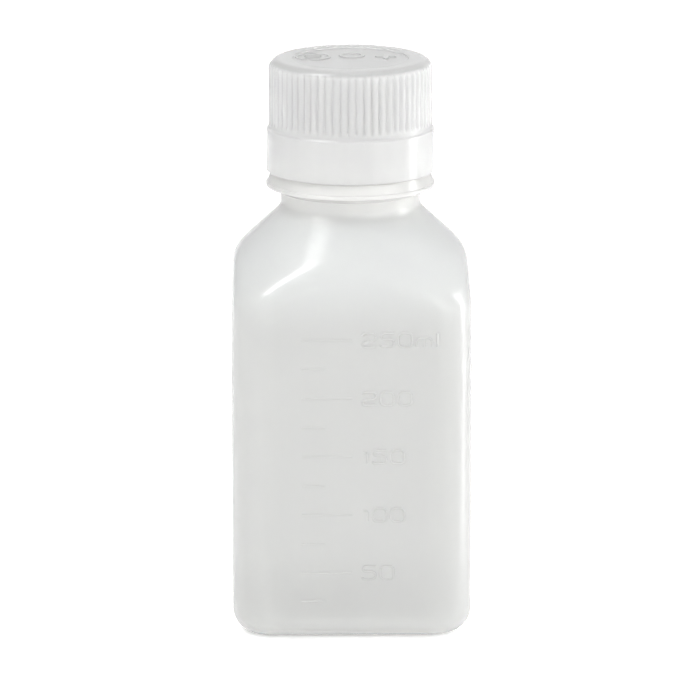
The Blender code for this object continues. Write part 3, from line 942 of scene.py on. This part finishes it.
class LABBOTTLE_OT_cap(bpy.types.Operator):
    """Build the ribbed screw cap with its inner thread and liner bead"""
    bl_idname = "lab_bottle.cap"
    bl_label = "Screw cap"

    SAMPLES_PER_RIB = 8
    GROOVE_SHARE = 0.72         # part of a rib's spacing that its groove takes
    GROOVE_START = 0.5 * MM     # how far below the skirt's top the grooves may begin
    TOUCH_GAP = 0.3 * MM        # left between pieces that rest on each other
    THREAD_SINK = 0.35 * MM
    EDGE = 0.35 * MM            # rounding of the skirt's lower edge
    LINER_BEAD_REACH = 0.35 * MM
    LINER_BEAD_FOOT = 2.0 * MM  # from the liner bead's top down to its foot and to its nose
    LINER_BEAD_NOSE = 0.9 * MM
    BEVEL = 0.1 * MM
    CORNER = 0.3 * MM           # rounding between ceiling and bore
    MARK_RISE = 0.25 * MM
    RING_POINTS = 64
    # (x, y) and outer and inner radius
    RING_MARKS = (((-9.5 * MM, 2.5 * MM), (4.6 * MM, 3.9 * MM)),
                  ((0.4 * MM, 4.4 * MM), (3.3 * MM, 2.3 * MM)))
    # (x, y) and size: three bars in the first ring, then a cross
    BAR_MARKS = (((-9.5 * MM, 2.5 * MM), (4.4 * MM, 0.6 * MM)),
                 ((-9.5 * MM, 4.0 * MM), (3.4 * MM, 0.6 * MM)),
                 ((-9.5 * MM, 1.0 * MM), (3.4 * MM, 0.6 * MM)),
                 ((9.0 * MM, 2.2 * MM), (5.4 * MM, 1.0 * MM)),
                 ((9.0 * MM, 2.2 * MM), (1.3 * MM, 7.0 * MM)))

    def execute(self, context):
        groups = scene_sizes(context)
        cap, neck = groups.cap, groups.neck
        top = top_heights(groups)
        material = cap_plastic(groups.finishes)
        around = cap.rib_count * self.SAMPLES_PER_RIB
        skirt = CAP_HIGH.x
        bore = skirt - cap.skirt_wall
        rings = turned(self.profile(cap, skirt, bore), around)
        piece = skin("cap_shell", rings, material)
        root = skirt - cap.rib_setback - cap.rib_depth
        grow(piece, rib_group(), material, {
            "Count": cap.rib_count, "Root radius": root,
            "Root foot": CAP_LOW.z + cap.skirt_height + cap.run_out,
            "Foot slope": cap.run_out / (skirt - root), "Groove share": self.GROOVE_SHARE,
            "Lowest": CAP_LOW.z + cap.skirt_height - self.GROOVE_START})
        crest = neck.radius + cap.thread_play
        flank = (neck.thread_base - neck.thread_crest) / 2
        slope = flank / (neck.thread_depth + self.THREAD_SINK)
        offset = (neck.thread_crest + slope * (neck.radius + neck.thread_depth - crest)
                  + self.TOUCH_GAP)
        grow(piece, thread_group(), material, thread_sizes(
            neck, bore, crest - bore, cap.thread_turns,
            top["thread_bottom"] + LIFT_PER_TURN * cap.thread_lead - offset,
            neck.thread_angle + 2 * math.pi * cap.thread_lead))
        fuse(piece, self.top_marks(cap, material))
        smooth_piece(piece)
        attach(piece, "cap")
        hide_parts("screw_cap")
        return {"FINISHED"}

    def profile(self, cap, skirt, bore):
        """(distance, height) from the middle of the top, down the outside and up the inside."""
        low, high = CAP_LOW.z, CAP_HIGH.z
        rib = skirt - cap.rib_setback
        recess = rib - cap.top_round - cap.top_land
        ceiling = high - cap.top_wall
        skirt_top = low + cap.skirt_height
        edge, bevel, corner = self.EDGE, self.BEVEL, self.CORNER
        bead_top = LINER_LOW.z - self.TOUCH_GAP
        bead_foot = bead_top - self.LINER_BEAD_FOOT
        bead = LINER_HIGH.x - self.LINER_BEAD_REACH
        sunk = high - cap.recess_depth
        points = [(distance, sunk) for distance in np.linspace(recess * 0.1, recess, 10)]
        points += arc((recess + cap.recess_depth, sunk), cap.recess_depth, 180, 90, 4)[1:]
        points += arc((rib - cap.top_round, high - cap.top_round), cap.top_round, 90, 0, 14)
        points += stretch_between((rib, high - cap.top_round), (rib, skirt_top + cap.run_out),
                                  2 * MM)[1:]
        points += stretch_between((rib, skirt_top + cap.run_out),
                                  (rib, skirt_top + cap.rib_setback), 0.2 * MM)
        points += arc((rib, skirt_top), cap.rib_setback - cap.skirt_draft, 90, 0, 4)[1:]
        points += stretch_between((skirt - cap.skirt_draft, skirt_top), (skirt, low + edge),
                                  1 * MM)[1:]
        points += arc((skirt - edge, low + edge), edge, 0, -90, 5)
        points += arc((bore + edge, low + edge), edge, -90, -180, 5)
        points += stretch_between((bore, low + edge), (bore, bead_foot), THREAD_STEP)[1:]
        points += [(bore, bead_foot), (bead, bead_top - self.LINER_BEAD_NOSE),
                   (bead, bead_top - bevel), (bead + bevel, bead_top), (bore, bead_top),
                   (bore, ceiling - corner)]
        points += arc((bore - corner, ceiling - corner), corner, 0, 90, 3)
        points += [(distance, ceiling) for distance in np.linspace(bore * 0.9, bore * 0.1, 9)]
        return points

    def top_marks(self, cap, material):
        """Three plain moulded marks in the recess: ringed bars, the gate's ring and a cross."""
        place = (CAP_HIGH.z - cap.recess_depth - MARK_SINK, MARK_SINK + self.MARK_RISE, material)
        return joined([self.ring_mark(*mark, *place) for mark in self.RING_MARKS]
                      + [self.bar_mark(*mark, *place) for mark in self.BAR_MARKS])

    def ring_mark(self, centre, radii, bottom, thickness, material):
        (outer, inner), bevel = radii, self.BEVEL
        high = bottom + thickness
        points = [(inner, bottom), (outer, bottom), (outer, high - bevel), (outer - bevel, high),
                  (inner + bevel, high), (inner, high - bevel)]
        shape = bmesh.new()
        corners = [[shape.verts.new(point) for point in ring]
                   for ring in turned(points, self.RING_POINTS)]
        for row, following_row in zip(corners, corners[1:] + corners[:1]):
            band(shape, row, following_row)
        piece = piece_from("ring_mark", shape, material)
        piece.data.transform(Matrix.Translation((*centre, 0.0)))
        return piece

    def bar_mark(self, centre, size, bottom, thickness, material):
        shape = bmesh.new()
        place = Matrix.Translation((*centre, bottom + thickness / 2)) @ Matrix.Diagonal(
            (*size, thickness, 1.0))
        bmesh.ops.create_cube(shape, size=1.0, matrix=place)
        upright = [edge for edge in shape.edges
                   if abs(edge.verts[0].co.z - edge.verts[1].co.z) > thickness / 2]
        bmesh.ops.bevel(shape, geom=upright, offset=min(size) * 0.3, segments=3, affect="EDGES")
        return piece_from("bar_mark", shape, material)


class LABBOTTLE_OT_liner(bpy.types.Operator):
    """Build the sealing disc that lies in the cap"""
    bl_idname = "lab_bottle.liner"
    bl_label = "Cap liner"

    AROUND = 192
    EDGE = 0.3 * MM
    STEP = 0.12 * MM            # height of the raised sealing ring and edge
    SEAL_SETBACK = 1.6 * MM     # how far inside the bore the sealing ring starts
    SEAL_WIDTH = 1.1 * MM

    def execute(self, context):
        groups = scene_sizes(context)
        radius = LINER_HIGH.x
        low, high = LINER_LOW.z, LINER_HIGH.z
        edge, step = self.EDGE, self.STEP
        seal = groups.neck.radius - groups.neck.wall - self.SEAL_SETBACK
        end = seal + self.SEAL_WIDTH
        points = [(distance, high - step) for distance in np.linspace(seal * 0.1, seal, 6)]
        points += [(seal + step, high), (end, high), (end + step, high - step)]
        points += [(radius - edge - step, high - step), (radius - edge, high)]
        points += arc((radius - edge, high - edge), edge, 90, 0, 4)[1:]
        points += arc((radius - edge, low + edge), edge, 0, -90, 4)
        points += [(distance, low) for distance in np.linspace(radius * 0.9, radius * 0.1, 6)]
        liner = skin("liner_disc", turned(points, self.AROUND), liner_plastic(groups.finishes))
        smooth_piece(liner)
        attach(liner, "liner")
        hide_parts("cap_liner")
        return {"FINISHED"}


class LABBOTTLE_OT_stage(bpy.types.Operator):
    """Set up the floor, the soft lights, the world and the camera"""
    bl_idname = "lab_bottle.stage"
    bl_label = "Stage"

    CAMERA_DISTANCE = 1.8
    CAMERA_PITCH = math.radians(12.8)
    CAMERA_YAW = math.radians(1.22)
    CAMERA_TURN = math.radians(0.1077)   # the object stands slightly right of the middle
    LENS = 374.8
    AIM_HEIGHT = 0.07208
    FLOOR_SIZE = 12.0
    # name, place, size and power of each light, all aimed at the object's middle
    SOFTBOXES = (("overhead_softbox", (-0.53, -0.20, 0.95), (0.24, 0.45), 4.5),
                 ("side_softbox", (1.0, 0.15, 0.25), (0.10, 0.9), 3.0),
                 ("edge_strip", (0.11, -0.006, AIM_HEIGHT), (0.018, 0.144), 0.03),
                 ("right_front_softbox", (0.9, -0.9, 0.40), (0.9, 0.9), 5.0),
                 ("left_front_softbox", (-0.9, -0.9, 0.40), (0.9, 0.9), 1.2))
    # name, place, size and grey of each flag
    FLAGS = (("left_flag", (-0.51, 0.32, 0.30), (1.10, 0.9), 0.42),
             ("right_flag", (0.40, 0.53, 0.30), (0.50, 0.9), 0.48))

    def execute(self, context):
        scene = context.scene
        groups = scene_sizes(context)
        bpy.ops.mesh.primitive_plane_add(size=self.FLOOR_SIZE)
        floor = context.object
        floor.name = "studio_floor"
        floor.data.materials.append(floor_finish(groups.finishes))
        self.world(scene)
        for softbox in self.SOFTBOXES:
            self.softbox(*softbox)
        for name, place, size, grey in self.FLAGS:
            self.flag(name, place, size, flag_finish(name + "_cloth", grey))
        self.camera(scene)
        scene.view_settings.view_transform = "Standard"
        scene.cycles.max_bounces = 24
        scene.cycles.transmission_bounces = 20
        scene.cycles.transparent_max_bounces = 12
        scene.cycles.caustics_refractive = True
        return {"FINISHED"}

    def world(self, scene):
        world = bpy.data.worlds.new("studio")
        scene.world = world
        world.use_nodes = True
        background = world.node_tree.nodes["Background"]
        background.inputs["Color"].default_value = (1.0, 1.0, 1.0, 1.0)
        background.inputs["Strength"].default_value = 1.0

    def softbox(self, name, place, size, power):
        light = bpy.data.lights.new(name, "AREA")
        light.shape = "RECTANGLE"
        light.size, light.size_y = size
        light.energy = power
        lamp = placed(name, light)
        lamp.location = place
        aim = Vector((0.0, 0.0, self.AIM_HEIGHT)) - lamp.location
        lamp.rotation_euler = aim.to_track_quat("-Z", "Y").to_euler()

    def flag(self, name, place, size, cloth):
        """An upright card that takes light away from one side, and that no camera sees."""
        shape = bmesh.new()
        facing = Vector((-place[0], -place[1], 0.0)).to_track_quat("Z", "Y").to_matrix().to_4x4()
        half = Matrix.Diagonal((size[0] / 2, size[1] / 2, 1.0, 1.0))
        matrix = Matrix.Translation(place) @ facing @ half
        bmesh.ops.create_grid(shape, x_segments=1, y_segments=1, size=1.0, matrix=matrix)
        card = piece_from(name, shape, cloth)
        card.visible_camera = False

    def camera(self, scene):
        data = bpy.data.cameras.new("camera")
        data.lens = self.LENS
        data.sensor_width = 36.0
        data.clip_start, data.clip_end = 0.1, 30.0
        camera = placed("camera", data)
        level = self.CAMERA_DISTANCE * math.cos(self.CAMERA_PITCH)
        back = Vector((-level * math.sin(self.CAMERA_YAW), -level * math.cos(self.CAMERA_YAW),
                       self.CAMERA_DISTANCE * math.sin(self.CAMERA_PITCH)))
        camera.location = Vector((0.0, 0.0, self.AIM_HEIGHT)) + back
        facing = (-back).to_track_quat("-Z", "Y")
        turn = Matrix.Rotation(self.CAMERA_TURN, 4, "Z")
        camera.rotation_euler = (turn @ facing.to_matrix().to_4x4()).to_euler()
        scene.camera = camera


class LabBottleSizes(bpy.types.PropertyGroup):
    body: PointerProperty(type=BottleSizes)
    neck: PointerProperty(type=NeckSizes)
    marks: PointerProperty(type=MarkSizes)
    cap: PointerProperty(type=CapSizes)
    finishes: PointerProperty(type=Finishes)


class LABBOTTLE_PT_sidebar(bpy.types.Panel):
    """Sizes, colours and build steps of the bottle"""
    bl_idname = "LABBOTTLE_PT_sidebar"
    bl_label = "Lab bottle"
    bl_space_type = "VIEW_3D"
    bl_region_type = "UI"
    bl_category = "Lab bottle"

    def draw(self, context):
        groups = scene_sizes(context)
        for label in ("body", "neck", "marks", "cap", "finishes"):
            box = self.layout.box()
            box.label(text=label.capitalize())
            group = getattr(groups, label)
            for name in group.__annotations__:
                box.prop(group, name)
        for operator in OPERATORS:
            self.layout.operator(operator.bl_idname)


OPERATORS = (LABBOTTLE_OT_liner, LABBOTTLE_OT_bottle, LABBOTTLE_OT_cap, LABBOTTLE_OT_stage)
CLASSES = (BottleSizes, NeckSizes, MarkSizes, CapSizes, Finishes, LabBottleSizes,
           *OPERATORS, LABBOTTLE_PT_sidebar)


def register():
    for cls in CLASSES:
        bpy.utils.register_class(cls)
    bpy.types.Scene.lab_bottle = PointerProperty(type=LabBottleSizes)


def unregister():
    del bpy.types.Scene.lab_bottle
    for cls in reversed(CLASSES):
        bpy.utils.unregister_class(cls)


def main():
    register()
    bpy.ops.lab_bottle.liner()
    bpy.ops.lab_bottle.bottle()
    bpy.ops.lab_bottle.cap()
    bpy.ops.lab_bottle.stage()


if __name__ == "__main__":
    main()
